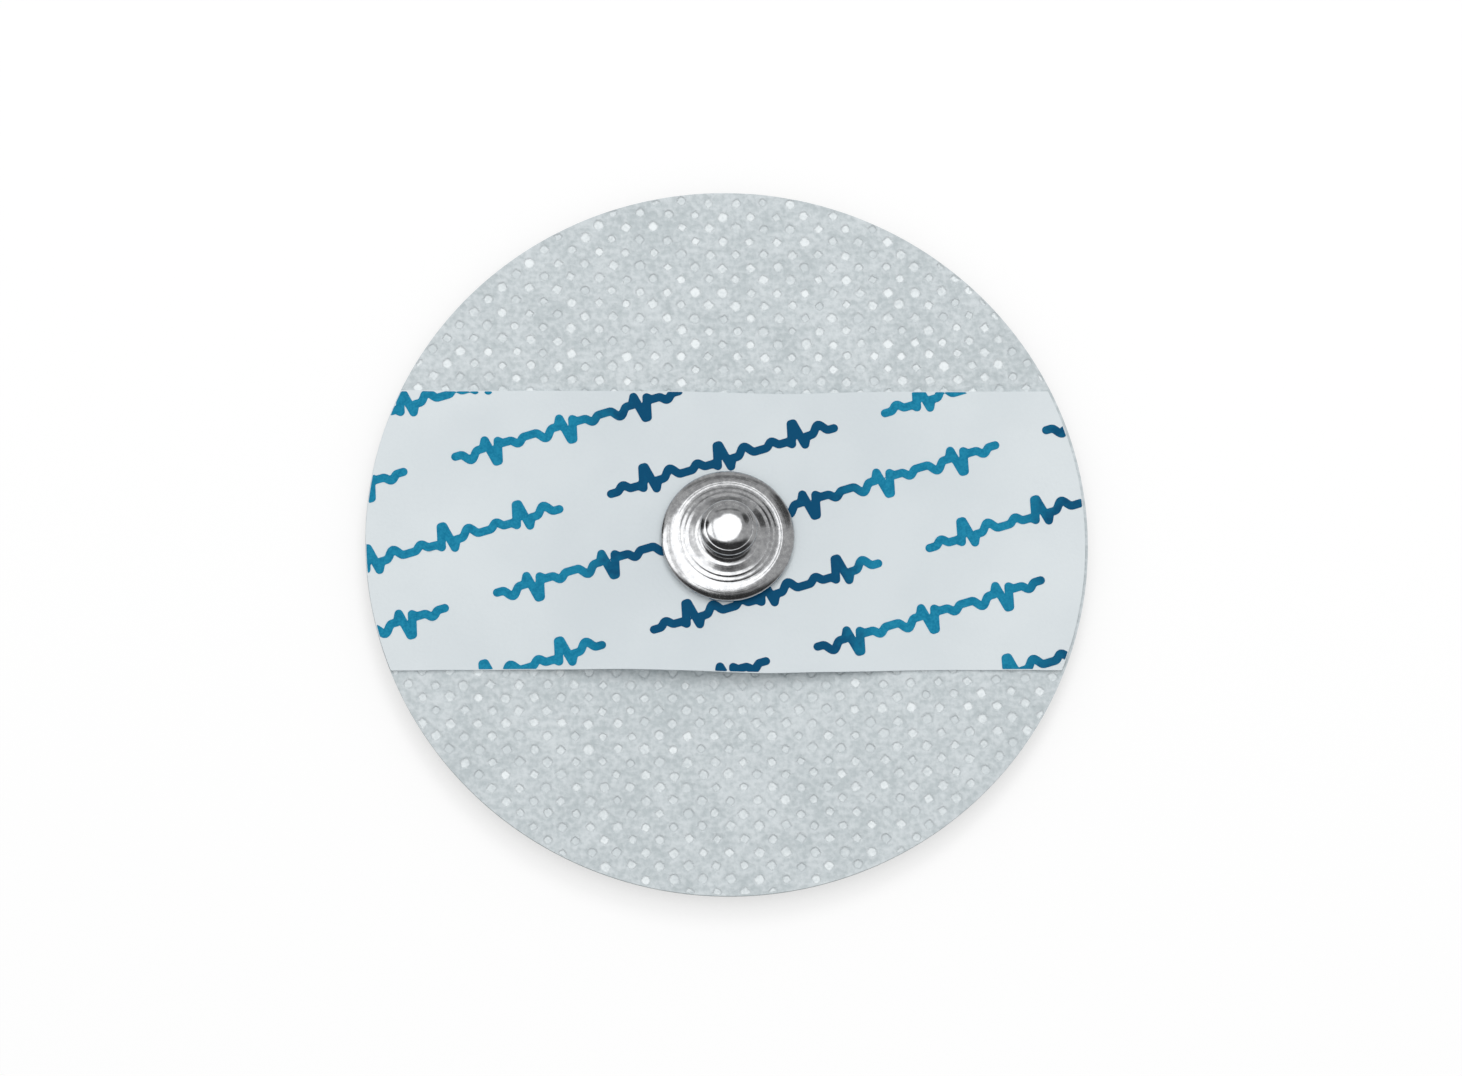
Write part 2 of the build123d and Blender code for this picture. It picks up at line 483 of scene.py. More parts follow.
tape_points, tape_drops, tape_masks, tape_tones_and_sheen = [], [], [], []
for dot in dots:
    rings = [(point, drop, drop, dot.tone) for share, drop in dot_ring_shares for point in dot.outline(share)]
    centre = ((dot.x, dot.y), centre_drop_share, 1.0, dot.tone + centre_tone_shift)
    for point, drop, mask, tone in [*rings, centre]:
        if math.hypot(*point) <= disc_radius - rim_margin:
            tape_points.append(point)
            tape_drops.append(dot.depth * drop)
            tape_masks.append(mask)
            tape_tones_and_sheen.append(tone)
ground = fill_points(ground_spacing, open_ground) + fill_points(hidden_spacing, hidden_ground)
tape_points += ground
tape_drops += [0.0] * len(ground)
tape_masks += [0.0] * len(ground)
tape_tones_and_sheen += [0.0] * len(ground)
rim_count = 720
eye_count = 48
tape_rim = ring(disc_radius, rim_count)
tape_eye = ring(post_hole_radius, eye_count)
lead = rim_count + eye_count


def tape_values(source, values):
    """One value for each point of the triangulated plan, zero on the cut edges."""
    return np.array([values[ids[0] - lead] if ids and ids[0] >= lead else 0.0 for ids in source])


def loft(x, y):
    """The ground's relief: two sizes of cloud, and a soft ridge across the lower part."""
    clouds = 0.5 * cloud(x, y, 0.5, 3.0) + 0.6 * cloud(x, y, 1.5, 8.0) - 1.0
    ridge = math.exp(-(((y - ridge_level - 0.02 * x) / 0.7) ** 2 + ((x - 4) / 9) ** 2))
    return clouds + 2.0 * ridge


def tape_level(plan, source):
    """Fluffy between the dots, pressed down at them, and a little lower under the strip."""
    drops = tape_values(source, tape_drops)
    lofts = np.array([loft(x, y) for x, y in plan])
    shown = np.array([0.0 if under_strip(x, y) else 1.0 for x, y in plan])
    return tape_top + shown * (loft_height * lofts - drops) - (1 - shown) * hidden_sink


tape, _, tape_source = solid_sheet(
    "nonwoven_disc", tape_rim, tape_eye, tape_points, tape_level, 0, flat_underside=tape_bottom
)


def store(piece, name, values, rest=0.0):
    """Keeps one number on each vertex for a material to read; vertices past the list get `rest`."""
    layer = piece.data.attributes.new(name, "FLOAT", "POINT")
    full = np.full(len(piece.data.vertices), rest, np.float32)
    full[: len(values)] = values
    layer.data.foreach_set("value", full)


store(tape, "bond", tape_values(tape_source, tape_masks))
# The tone is each dot's random paleness, with the painted sheen of the upper half's dots.
store(tape, "tone", tape_values(tape_source, tape_tones_and_sheen))
print(len(tape.data.polygons), "faces in the tape")

# %% [markdown]
# ## The paper strip
#
# The strip is a slip of coated paper glued over the tape. It runs from edge to edge, and its ends
# follow the disc. Clamping the stud through it has pulled it a little: its lower edge stands off the
# tape near the middle, which throws the soft shadow there, the face is very slightly cockled, and
# one faint fold crosses its left end. A plain extruded outline would hide all that, so the plan's
# points are lifted by a formula.

# %% Build the strip
strip_spacing = 0.5
strip_margin = 0.25
strip_hole_margin = 0.2
lift_height = 0.75
lift_centre = -1.6
lift_reach = 9.3
lift_from = -4.0
lift_power = 1.8
sag_from = 5.5
sag_height = 0.10
cockle_height = 0.05
fold_place = -20.6
fold_height = 0.05
clamp_width = 3.5


def eased(share):
    """A share limited to 0 and 1, with a soft start and end."""
    share = min(max(share, 0.0), 1.0)
    return share * share * (3 - 2 * share)


def lift(x, y):
    """How far the strip stands off the tape."""
    clamped = eased((math.hypot(x, y) - flange_radius) / clamp_width)
    lower = min(max((lift_from - y) / (lift_from - strip_low), 0.0), 1.0)
    edge = lift_height * lower**lift_power * math.exp(-((abs(x - lift_centre) / lift_reach) ** 3))
    upper = min(max((y - sag_from) / (strip_high - sag_from), 0.0), 1.0)
    edge += sag_height * upper**2 * math.exp(-(((x - 4.5) / 4.0) ** 2))
    cockle = cockle_height * (cloud(x, y * 0.6, 6.5, 21.0) + 0.5 * cloud(x, y, 2.8, 5.0) + 0.55)
    fold = fold_height * math.exp(-(((x - fold_place + 0.05 * y) / 0.28) ** 2))
    return clamped * (edge + max(cockle, 0.0) + fold)


def upper_edge(x):
    """The strip's upper edge, which sags a little to the right of the stud."""
    return strip_high - 0.22 * math.exp(-(((x - 4) / 5) ** 2))


def lower_edge(x):
    """The strip's lower edge, which bulges a little where it stands off the tape."""
    return strip_low - 0.34 * math.exp(-(((x - 2.5) / 7) ** 2))


def end_radius(x):
    """Where the strip ends: flush with the disc's edge on the left, and just short of it on the right."""
    return disc_radius - 0.03 if x < 0 else strip_end_radius


def strip_outline():
    """Anticlockwise: the right end, the upper edge, the left end and the lower edge."""
    end_steps = 70
    edge_steps = 110
    points = []
    for side, edge in ((1, upper_edge), (-1, lower_edge)):
        radius = end_radius(side)
        turns = [math.asin(strip_low / radius), math.asin(strip_high / radius)][::side]
        for step in range(end_steps + 1):
            turn = turns[0] + (turns[1] - turns[0]) * step / end_steps
            points.append((side * radius * math.cos(turn), radius * math.sin(turn)))
        start = points[-1][0]
        level = strip_high if side > 0 else strip_low
        other = end_radius(-side)
        finish_x = -side * math.sqrt(other * other - level * level)
        for step in range(1, edge_steps):
            x = start + (finish_x - start) * step / edge_steps
            points.append((x, edge(x) - side * edge_wander(x, 1.0 if side > 0 else 9.0)))
    return points


def edge_wander(x, seed):
    """The knife's small wander, in millimetres inward, zero at the strip's corners."""
    fade = min(1.0, (strip_end_radius * 0.9 - abs(x)) / 3) if abs(x) < strip_end_radius * 0.9 else 0.0
    return 0.03 * fade * (1 + cloud(x, 0.0, 4.0, seed))


def strip_level(plan, source):
    return np.array([paper_top + lift(x, y) for x, y in plan])


def on_strip(x, y):
    inside = lower_edge(x) + strip_margin < y < upper_edge(x) - strip_margin
    return inside and post_hole_radius + strip_hole_margin < math.hypot(x, y) < end_radius(x) - strip_margin


strip_outer = strip_outline()
strip_thickness = paper_top - paper_bottom
strip_inner = fill_points(strip_spacing, on_strip, 0.2)
strip, _, _ = solid_sheet("paper_strip", strip_outer, tape_eye, strip_inner, strip_level, strip_thickness)
print(len(strip.data.polygons), "faces in the strip")

# %% [markdown]
# ## The print
#
# The strip is printed in slanted rows of plain pulse traces, and every other row stands on its head.
# One trace is three beats. A beat is a list of corners, as shares of its length and of the print's
# half height, and two soft humps are put into its level stretches. The rows are copies of that line.

# %% Draw the pulse traces
trace_length = 16.2
trace_pitch = 19.95
row_pitch = 5.05
row_angle = math.radians(16.95)
first_row = 15.7
row_count = 7
upright_start = -6.8
turned_start = 3.6
half_height = 0.92
beats = 3
pen_radius = 0.295
pen_search = 0.6
ink_grid = 0.09
beat_shares = [
    (0.08, -0.34), (0.27, -0.34), (0.37, -0.34), (0.42, -0.60), (0.485, 0.92), (0.515, 0.92),
    (0.58, -0.92), (0.63, -0.34), (0.70, -0.34), (0.93, -0.34),
]
hump_shares = {1: 0.38, 9: 0.60}
hump_steps = 12


def trace_line():
    """The pen's line through the beats of one trace, with its two round humps in each beat."""
    points = [(0.0, beat_shares[0][1])]
    for beat in range(beats):
        for number, (along, across) in enumerate(beat_shares):
            if number in hump_shares:
                start = beat_shares[number - 1][0]
                for step in range(1, hump_steps):
                    rise = hump_shares[number] * (0.5 - 0.5 * math.cos(2 * math.pi * step / hump_steps))
                    points.append((beat + start + (along - start) * step / hump_steps, across + rise))
            points.append((beat + along, across))
    points.append((float(beats), beat_shares[-1][1]))
    beat_length = trace_length / beats
    return np.array([(x * beat_length, y * half_height) for x, y in points])


def placed_traces():
    """Every trace that may touch the strip, turned into the disc's axes."""
    line = trace_line()
    turn = np.array([[math.cos(row_angle), math.sin(row_angle)], [-math.sin(row_angle), math.cos(row_angle)]])
    traces = []
    for row in range(row_count):
        across = first_row - row * row_pitch
        for copy in range(-3, 4):
            if row % 2 == 0:
                trace = line + [upright_start + copy * trace_pitch, across]
            else:
                trace = [turned_start + trace_length + copy * trace_pitch, across] - line
            trace = trace @ turn
            near = (np.hypot(trace[:, 0], trace[:, 1]) < disc_radius + 2) & (np.abs(trace[:, 1]) < 13)
            if near.any():
                traces.append(trace)
    return traces


traces = placed_traces()
print(len(traces), "pulse traces")

# %% [markdown]
# A trace is drawn with a round pen, so its shape is simply every point nearer to the line than half
# the pen's width. That distance is worked out on a fine grid, and the cells inside it are cut along
# the zero line (marching squares). The union of strokes, the round ends and the cut at the strip's
# edges all come for free. The flat shapes then follow the lifted paper and get walls.

# %% Cut the ink out of the grid
ink_x = np.arange(-strip_end_radius - 0.2, strip_end_radius + 0.2, ink_grid)
ink_y = np.arange(strip_low - 0.6, strip_high + 0.2, ink_grid)
grid_x, grid_y = np.meshgrid(ink_x, ink_y, indexing="ij")


def stroke_gap(start, end, x, y):
    """Distance from points to one straight stretch of the pen's line."""
    run = end - start
    share = ((x - start[0]) * run[0] + (y - start[1]) * run[1]) / (run @ run)
    share = np.clip(share, 0.0, 1.0)
    return np.hypot(x - start[0] - share * run[0], y - start[1] - share * run[1])


ink_gap = np.full(grid_x.shape, 1e3)
for trace in traces:
    for start, end in zip(trace[:-1], trace[1:]):
        low = np.minimum(start, end) - pen_search
        high = np.maximum(start, end) + pen_search
        i = slice(*np.searchsorted(ink_x, [low[0], high[0]]))
        j = slice(*np.searchsorted(ink_y, [low[1], high[1]]))
        if ink_x[i].size and ink_y[j].size:
            gap = stroke_gap(start, end, grid_x[i, j], grid_y[i, j])
            ink_gap[i, j] = np.minimum(ink_gap[i, j], gap)
edge_inset = 0.05
long_edge_inset = 0.08
ink_inner_radius = flange_radius - 0.18
from_rim = np.hypot(grid_x, grid_y)
ink_field = ink_gap - pen_radius
for limit in (
    from_rim - np.vectorize(end_radius)(grid_x) + edge_inset,
    ink_inner_radius - from_rim,
    np.vectorize(lower_edge)(grid_x) + long_edge_inset - grid_y,
    grid_y - np.vectorize(upper_edge)(grid_x) + long_edge_inset,
):
    ink_field = np.maximum(ink_field, limit)


def march(field, xs, ys):
    """Flat polygons that cover the part of the grid where the field is below zero."""
    inside = field < 0
    active = inside[:-1, :-1] | inside[1:, :-1] | inside[:-1, 1:] | inside[1:, 1:]
    points, number, faces = [], {}, []

    def point(key, place):
        if key not in number:
            number[key] = len(points)
            points.append(place)
        return number[key]

    for i, j in zip(*np.nonzero(active)):
        corners = [(i, j), (i + 1, j), (i + 1, j + 1), (i, j + 1)]
        face = []
        for here, there in zip(corners, corners[1:] + corners[:1]):
            if inside[here]:
                face.append(point(here, (xs[here[0]], ys[here[1]])))
            if inside[here] != inside[there]:
                share = field[here] / (field[here] - field[there])
                x = xs[here[0]] + share * (xs[there[0]] - xs[here[0]])
                y = ys[here[1]] + share * (ys[there[1]] - ys[here[1]])
                face.append(point((min(here, there), max(here, there)), (x, y)))
        faces.append(face)
    return np.array(points), faces


ink_clearance = 0.002
ink_plan, ink_faces = march(ink_field, ink_x, ink_y)
ink_paper = np.array([paper_top + lift(x, y) for x, y in ink_plan])
ink_upper = np.column_stack([ink_plan, ink_paper + (ink_top - ink_bottom)])
ink_lower = np.column_stack([ink_plan, ink_paper + ink_clearance])
count = len(ink_plan)
sides = {pair for face in ink_faces for pair in zip(face, face[1:] + face[:1])}
ink_all = [*ink_faces, *[[i + count for i in reversed(face)] for face in ink_faces]]
for face in ink_faces:
    for here, there in zip(face, face[1:] + face[:1]):
        if (there, here) not in sides:
            ink_all.append((there, here, here + count, there + count))
ink = new_piece("pulse_print", np.vstack([ink_upper, ink_lower]), ink_all)
mark_edges(ink)
print(len(ink.data.polygons), "faces in the print")

# %% [markdown]
# ## The snap stud
#
# The stud is turned sheet metal, so it is round about one axis: its half section, drawn once as
# radius and height, is spun about Z. A mirror-bright part shows its form only through reflections,
# so the section keeps every small change of slope: the rolled rim, the near flat just inside it, the
# fine steps turned into the plate, the hollow riser, the bevel of the head and the crease of its cap.

# %% Draw the stud's half section
sheet = 0.25
riser_foot = (2.17, 1.055)
neck_radius = 1.62
neck_foot = 1.73
neck_head = 1.77
head_radius = 1.975
belt_low = 2.05
belt_high = 2.55
crease_radius = 1.63
crease_level = 3.06
cap_level = stud_top - stud_seat
cap_power = 4
cap_steps = 25
inside_rim = [(3.55, 0.41), (3.85, 0.42), (4.03, 0.36), (4.035, 0.0)]
shoulder = [
    (head_radius, belt_high), (head_radius, 2.74), (1.957, 2.84), (1.90, 2.905), (1.70, 3.040),
    (crease_radius, crease_level),
]
rolled_rim = [
    (4.15, 0.0), (4.30, 0.0), (4.46, 0.04), (4.57, 0.13), (4.615, 0.24), (4.625, 0.33), (4.60, 0.42),
    (4.53, 0.495), (4.42, 0.555), (4.28, 0.612), (4.12, 0.665), (3.97, 0.705), (3.86, 0.728),
    (3.77, 0.743), (3.70, 0.752), (3.64, 0.760), (3.60, 0.7635), (3.55, 0.767),
]
plate = [
    (3.55, 0.767), (3.48, 0.775), (3.30, 0.803), (3.05, 0.842), (2.80, 0.883), (2.66, 0.914), (2.52, 0.956),
    (2.38, 1.002), (2.27, 1.036), riser_foot,
]
ring_radii = [2.99, 3.34]
ring_width = 0.05
ring_depth = 0.014


def arc_from(start, heading, end, steps):
    """Points on the arc that leaves `start` in a direction and ends at `end`, without its start."""
    start, end, heading = np.array(start, float), np.array(end, float), np.array(heading, float)
    chord = end - start
    normal = np.array([-heading[1], heading[0]])
    radius = (chord @ chord) / (2 * (chord @ normal))
    centre = start + radius * normal
    first = start - centre
    last = end - centre
    turn = math.atan2(first[0] * last[1] - first[1] * last[0], first @ last)
    points = []
    for step in range(1, steps + 1):
        cos, sin = math.cos(turn * step / steps), math.sin(turn * step / steps)
        swung = (first[0] * cos - first[1] * sin, first[0] * sin + first[1] * cos)
        points.append(tuple(centre + swung))
    return points


def smooth_run(points, steps):
    """A soft curve through a few points (Catmull-Rom), with `steps` points to each stretch."""
    inner = [np.array(point) for point in points]
    knots = [2 * inner[0] - inner[1], *inner, 2 * inner[-1] - inner[-2]]
    run = [tuple(points[0])]
    for a, b, c, d in zip(knots, knots[1:], knots[2:], knots[3:]):
        for step in range(1, steps + 1):
            s = step / steps
            bent = (2 * a - 5 * b + 4 * c - d) * s**2 + (3 * b - a - 3 * c + d) * s**3
            run.append(tuple(0.5 * (2 * b + (c - a) * s + bent)))
    return run


def turned_rings(radius, level):
    """The plate's level with its turned rings, which are fine steps that fall towards the rim."""
    return level + sum(ring_depth * (1 - math.tanh((radius - r) / ring_width)) for r in ring_radii)


def cap_height(radius):
    """The cap: nearly flat in the middle, and falling ever faster towards the crease."""
    return cap_level - (cap_level - crease_level) * (radius / crease_radius) ** cap_power


def stud_section():
    """The closed half section: along the outside from the seat to the cap, then back along the inside."""
    section = smooth_run(rolled_rim, 4)
    section += [(r, turned_rings(r, z)) for r, z in smooth_run(plate, 14)[1:]]
    foot = section[-1]
    riser = arc_from((neck_radius, neck_foot), (0, -1), foot, 12)
    section += riser[-2::-1]
    section += [(neck_radius, neck_foot), (neck_radius, neck_head)]
    bulge = arc_from((head_radius, belt_low), (0, -1), (neck_radius, neck_head), 10)
    section += bulge[-2::-1]
    section += [(head_radius, level) for level in (belt_low, (belt_low + belt_high) / 2, belt_high)]
    section += smooth_run(shoulder, 4)[1:]
    for step in range(1, cap_steps):
        radius = crease_radius * (1 - step / cap_steps)
        section.append((radius, cap_height(radius)))
    section += [(0.0, cap_level), (0.0, cap_level - sheet), (crease_radius - sheet, crease_level - sheet / 2)]
    section += [(head_radius - sheet, belt_high), (head_radius - sheet, belt_low)]
    section += [(neck_radius - sheet, neck_head), (neck_radius - sheet, neck_foot)]
    section += arc_from(section[-1], (0, -1), (foot[0], foot[1] - sheet), 6)
    return section + inside_rim


section = stud_section()
print(len(section), "points in the half section")

# %% Spin the section
turn_steps = 200
stud_edge_angle = math.radians(35)


def lathe(name, section, base, steps, closed=True):
    """Spins a half section about Z. Points on the axis are made once."""
    points, index, faces = [], [], []
    for radius, height in section:
        if radius < 1e-6:
            index.append([len(points)] * steps)
            points.append((0.0, 0.0, base + height))
        else:
            index.append(list(range(len(points), len(points) + steps)))
            for x, y in ring(radius, steps):
                points.append((x, y, base + height))
    pairs = list(zip(index, index[1:] + index[:1] if closed else index[1:]))
    for inner, outer in pairs:
        for step in range(steps):
            after = (step + 1) % steps
            face = [inner[step], inner[after], outer[after], outer[step]]
            face = list(dict.fromkeys(face))
            if len(face) > 2:
                faces.append(face)
    return new_piece(name, points, faces)


stud = lathe("stamped_stud", section, stud_seat, turn_steps)
mark_edges(stud, stud_edge_angle)
print(len(stud.data.polygons), "faces in the stud")

# %% [markdown]
# ## The skin side
#
# Underneath, a thin clear coat of adhesive covers the tape, and a disc of open foam full of wet gel
# covers the sensor. Both are seen only when the electrode is turned over. The adhesive is a plan
# with a faint pull in it. The pad is spun from a section with swollen sides, and its face is then
# roughened with noise so that the pores of the foam show under the wet gel.

# %% Build the adhesive coat and the gel pad
adhesive_thickness = adhesive_top - adhesive_bottom
coat_spacing = 1.0
coat_relief = 0.018
coat_steps = 240


def on_coat(x, y):
    return post_hole_radius + 0.3 < math.hypot(x, y) < disc_radius - 0.3


def coat_level(plan, source):
    return np.full(len(plan), adhesive_top)


coat_inner = fill_points(coat_spacing, on_coat)
adhesive, coat_plan, _ = solid_sheet(
    "adhesive_film", ring(disc_radius, coat_steps), tape_eye, coat_inner, coat_level, adhesive_thickness
)
coat_count = len(coat_plan)
for vertex in list(adhesive.data.vertices)[coat_count:]:
    x, y, _ = vertex.co / MM
    if post_hole_radius + 0.2 < math.hypot(x, y) < disc_radius - 0.2:
        vertex.co.z += coat_relief * (1 + cloud(x, y, 2.2, 40.0)) * MM

pad_pocket_radius = 4.9
pad_pocket_level = pad_top - 0.5
pad_height = pad_top - pad_bottom
pad_swell = 0.14
pad_edge_radius = 0.14
pore_depth = 0.05


def pad_section():
    """Pocket floor, pocket wall, top ring, swollen side, rounded lower edge and the skin face."""
    section = [(0.0, pad_pocket_level), (pad_pocket_radius, pad_pocket_level), (pad_pocket_radius, pad_top)]
    section.append((pad_radius - 0.2, pad_top))
    for step in range(15):
        share = step / 14
        swell = pad_swell * math.sin(math.pi * share) - pad_swell
        section.append((pad_radius + swell, pad_top - 0.02 - share * (pad_height - 0.18)))
    edge = pad_radius - pad_swell - pad_edge_radius
    for step in range(1, 7):
        turn = math.pi / 2 * step / 6
        level = pad_bottom + pad_edge_radius * (1 - math.sin(turn))
        section.append((edge + pad_edge_radius * math.cos(turn), level))
    rings = 60
    start = section[-1][0]
    for step in range(1, rings + 1):
        section.append((start * (1 - step / rings), pad_bottom))
    return section


pad = lathe("gel_foam", pad_section(), 0.0, 220, closed=False)
for vertex in pad.data.vertices:
    x, y, z = vertex.co / MM
    place = Vector((x, y, z))
    pores = max(noise.noise(place / 0.55) + 0.6 * noise.noise(place / 0.26), 0.0)
    if z < pad_bottom + 0.01:
        vertex.co.z += pore_depth * pores * MM
    elif z < pad_top - 0.03 and math.hypot(x, y) > pad_pocket_radius + 1:
        vertex.co -= Vector((x, y, 0)).normalized() * pore_depth * pores * MM
mark_edges(pad)
print(len(adhesive.data.polygons), "faces in the adhesive,", len(pad.data.polygons), "in the pad")

# %% [markdown]
# ## Finishes
#
# Colours are given as they show on a screen and turned into the linear values that shaders use.

# %% Colours
def screen(red, green, blue):
    """A screen colour from 0 to 255 as linear red, green, blue and alpha."""
    values = []
    for part in (red, green, blue):
        share = part / 255
        values.append(share / 12.92 if share <= 0.04045 else ((share + 0.055) / 1.055) ** 2.4)
    return (*values, 1.0)


print("mid tape grey:", [round(part, 3) for part in screen(200, 208, 211)])

# %% [markdown]
# ### Nonwoven
#
# The ground is matt and cloudy. Two sizes of noise give the clumps, and two stretched ones give a
# trace of fibres. The dots are melted plastic, so they are paler and smoother. How pale each one is
# comes from the number on its vertices, which holds its random tone and, for the upper half, a
# painted sheen. A fine noise frays each dot's edge and mottles its floor.

# %% Nonwoven finish
def nonwoven_finish():
    finish = Finish("nonwoven", roughness=0.75, specular_ior_level=0.25)
    clumps = finish.noise(0.38, 3.0)
    pores = finish.noise(0.20, 2.0)
    drifts = finish.noise(1.7, 2.0)
    fibres = finish.noise(0.10, 2.0, (1, 5, 1))
    crossing = finish.noise(0.10, 2.0, (4, 1, 1))
    felt = clumps * 0.62 + drifts * 0.28 + (fibres + crossing) * 0.05
    wash = finish.noise(5.0, 2.0)
    cloudy = (felt * 0.8 + wash * 0.2).ramp(0.36, 0.64)
    ground = finish.mix(cloudy, screen(190, 199, 202), screen(217, 224, 227))
    bond = (finish.attribute("bond") + (pores - 0.5) * 0.55).ramp(0.22, 0.95)
    # The stored tone carries the upper half's painted sheen as well as each dot's random paleness.
    tone = finish.attribute("tone") * 0.20 + 0.44 + (pores - 0.5) * 0.9
    film = finish.mix(tone.ramp(0.0, 1.0), screen(206, 214, 217), screen(240, 246, 248))
    finish.set("Base Color", finish.mix(bond, ground, film))
    finish.set("Roughness", 0.82 - bond * 0.5)
    finish.bump(felt * (1 - bond * 0.8), 0.16)
    return finish.material


print("nonwoven finish ready")

# %% [markdown]
# ### Paper and ink
#
# Coated paper is nearly even: a soft sheen, a trace of grain and a slightly paler tone towards its
# ends. The ink is a mottled mid blue. It is darker around the middle and at the right end, in
# patches.

# %% Paper and ink finishes
def paper_finish():
    finish = Finish("coated_paper", roughness=0.5, specular_ior_level=0.3)
    place = finish.node("ShaderNodeSeparateXYZ", {}, {"Vector": finish.place()}, "X") / MM
    ends = (place * place).ramp(6.0**2, 21.0**2)
    tone = finish.noise(7.0, 2.0)
    grain = finish.noise(0.25, 3.0)
    share = ends * 0.45 + (tone * 0.8 + grain * 0.2).ramp(0.3, 0.7) * 0.55
    finish.set("Base Color", finish.mix(share, screen(212, 220, 224), screen(223, 230, 233)))
    finish.set("Roughness", 0.45 + grain * 0.2)
    finish.bump(grain, 0.012)
    return finish.material


def ink_finish():
    finish = Finish("blue_ink", roughness=0.6, specular_ior_level=0.12)
    place = finish.node("ShaderNodeSeparateXYZ", {}, {"Vector": finish.place()}, "X") / MM
    middle = 1 - (place * place).ramp(5.0**2, 11.5**2)
    right_end = place.ramp(18.0, 23.0) * 0.7
    patches = finish.noise(2.6, 2.0)
    mottle = finish.noise(0.45, 2.0)
    speckle = finish.noise(0.16, 2.0)
    dark = ((middle + right_end) * 0.55 + patches * 0.40 + mottle * 0.42 + speckle * 0.15).ramp(0.52, 1.0)
    uneven = (mottle * 0.5 + speckle * 0.5).ramp(0.35, 0.65)
    mid_blue = finish.mix(uneven, screen(14, 118, 154), screen(32, 139, 174))
    finish.set("Base Color", finish.mix(dark, mid_blue, screen(2, 76, 114)))
    finish.bump(speckle, 0.01)
    return finish.material


print("paper and ink finish ready")

# %% [markdown]
# ### Metal
#
# Nickel plate is a grey mirror. The lathe leaves marks that only change with the distance from
# the axis, so the noise is read at (radius, height) instead of at the point itself. On the plate the
# marks are strong, and on the polished head they are faint.

# %% Metal finish
def metal_finish():
    finish = Finish("nickel_plate", metallic=1.0)
    place = finish.place()
    flat = finish.node("ShaderNodeVectorMath", {"operation": "MULTIPLY"}, {0: place, 1: (1, 1, 0)})
    radius = finish.node("ShaderNodeVectorMath", {"operation": "LENGTH"}, {0: flat}, "Value")
    height = finish.node("ShaderNodeSeparateXYZ", {}, {"Vector": place}, "Z")
    turned = finish.node("ShaderNodeCombineXYZ", {}, {"X": radius / MM, "Y": height / MM})
    marks = finish.node(
        "ShaderNodeTexNoise", {"noise_dimensions": "2D"}, {"Vector": turned, "Scale": 5.0, "Detail": 3.0}
    )
    plate_share = 1 - (height / MM).ramp(stud_seat + 0.9, stud_seat + 1.2)
    dents = finish.noise(0.9, 2.0)
    smear = finish.noise(0.35, 3.0)
    finish.set("Base Color", finish.mix(smear.ramp(0.3, 0.7), screen(180, 181, 183), screen(206, 207, 208)))
    finish.set("Roughness", 0.11 + smear * 0.10)
    finish.bump(marks * (0.1 + plate_share * 0.9) + dents * 0.9, 0.010)
    return finish.material


print("metal finish ready")

# %% [markdown]
# ### Gel, adhesive and sensor
#
# Wet gel is foam under a clear film: a cloudy pale colour with a sharp coat over it. Where the
# foam's surface lies low it is painted darker, a painted shade in its hollows, mixed with a random
# mottle. The adhesive is a clear film over the same white tape, a touch yellower and smoother than the cloth.

# %% Skin side finishes
def gel_finish():
    finish = Finish("wet_gel", roughness=0.35, coat_weight=1.0, coat_roughness=0.06)
    cells = finish.node(
        "ShaderNodeTexVoronoi", {"feature": "SMOOTH_F1"},
        {"Vector": finish.place(), "Scale": 1 / (0.5 * MM), "Smoothness": 0.4}, "Distance",
    )
    # Painted shade: the colour darkens where the bump lies low, in the foam's hollows, mixed with a random
    # mottle.
    depth = (cells * 0.7 + finish.noise(1.5) * 0.5).ramp(0.25, 0.85)
    finish.set("Base Color", finish.mix(depth, screen(214, 226, 228), screen(178, 198, 203)))
    finish.bump(1 - cells, 0.08)
    return finish.material


def adhesive_finish():
    finish = Finish("clear_adhesive", roughness=0.3, coat_weight=0.6, coat_roughness=0.15)
    pull = finish.noise(1.1, 3.0, (1, 3, 1))
    finish.set("Base Color", finish.mix(pull.ramp(0.3, 0.7), screen(214, 216, 210), screen(228, 230, 225)))
    finish.bump(pull, 0.05)
    return finish.material


def sensor_finish():
    finish = Finish("silver_chloride", roughness=0.55, metallic=0.35)
    grain = finish.noise(0.12, 3.0)
    finish.set("Base Color", finish.mix(grain.ramp(0.35, 0.65), screen(150, 148, 146), screen(178, 176, 173)))
    finish.bump(grain, 0.01)
    return finish.material


print("skin side finish ready")

# %% [markdown]
# ## Dress the frame
#
# Each new piece rides on the model's only body and stands for the CAD node whose place it takes.
# The sensor rivet is closed in between pad and stud. Its CAD form is right, so it stays.

# %% Give every piece its finish, its body and its node
dressing = [
    (tape, nonwoven_finish, "nonwoven_tape", "nonwoven"),
    (strip, paper_finish, "label_strip", "paper"),
    (ink, ink_finish, "label_print", "ink"),
    (stud, metal_finish, "snap_stud", "stud_metal"),
    (adhesive, adhesive_finish, "adhesive_coat", "adhesive"),
    (pad, gel_finish, "gel_pad", "gel"),
]
for piece, finish, node, slot in dressing:
    piece.data.materials.append(finish())
    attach(piece, "root")
    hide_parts(node)
    print(piece.name, "stands for", node)
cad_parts["sensor_rivet"].material_slots[0].material = sensor_finish()

# %% [markdown]
# ## Floor and light
#
# The part lies on plain white. The floor is a real white surface, so it keeps the part's shadow. A
# part of its whiteness is a glow that only seen rays meet, so the shadow stays faint and the floor
# throws no more light on the part.

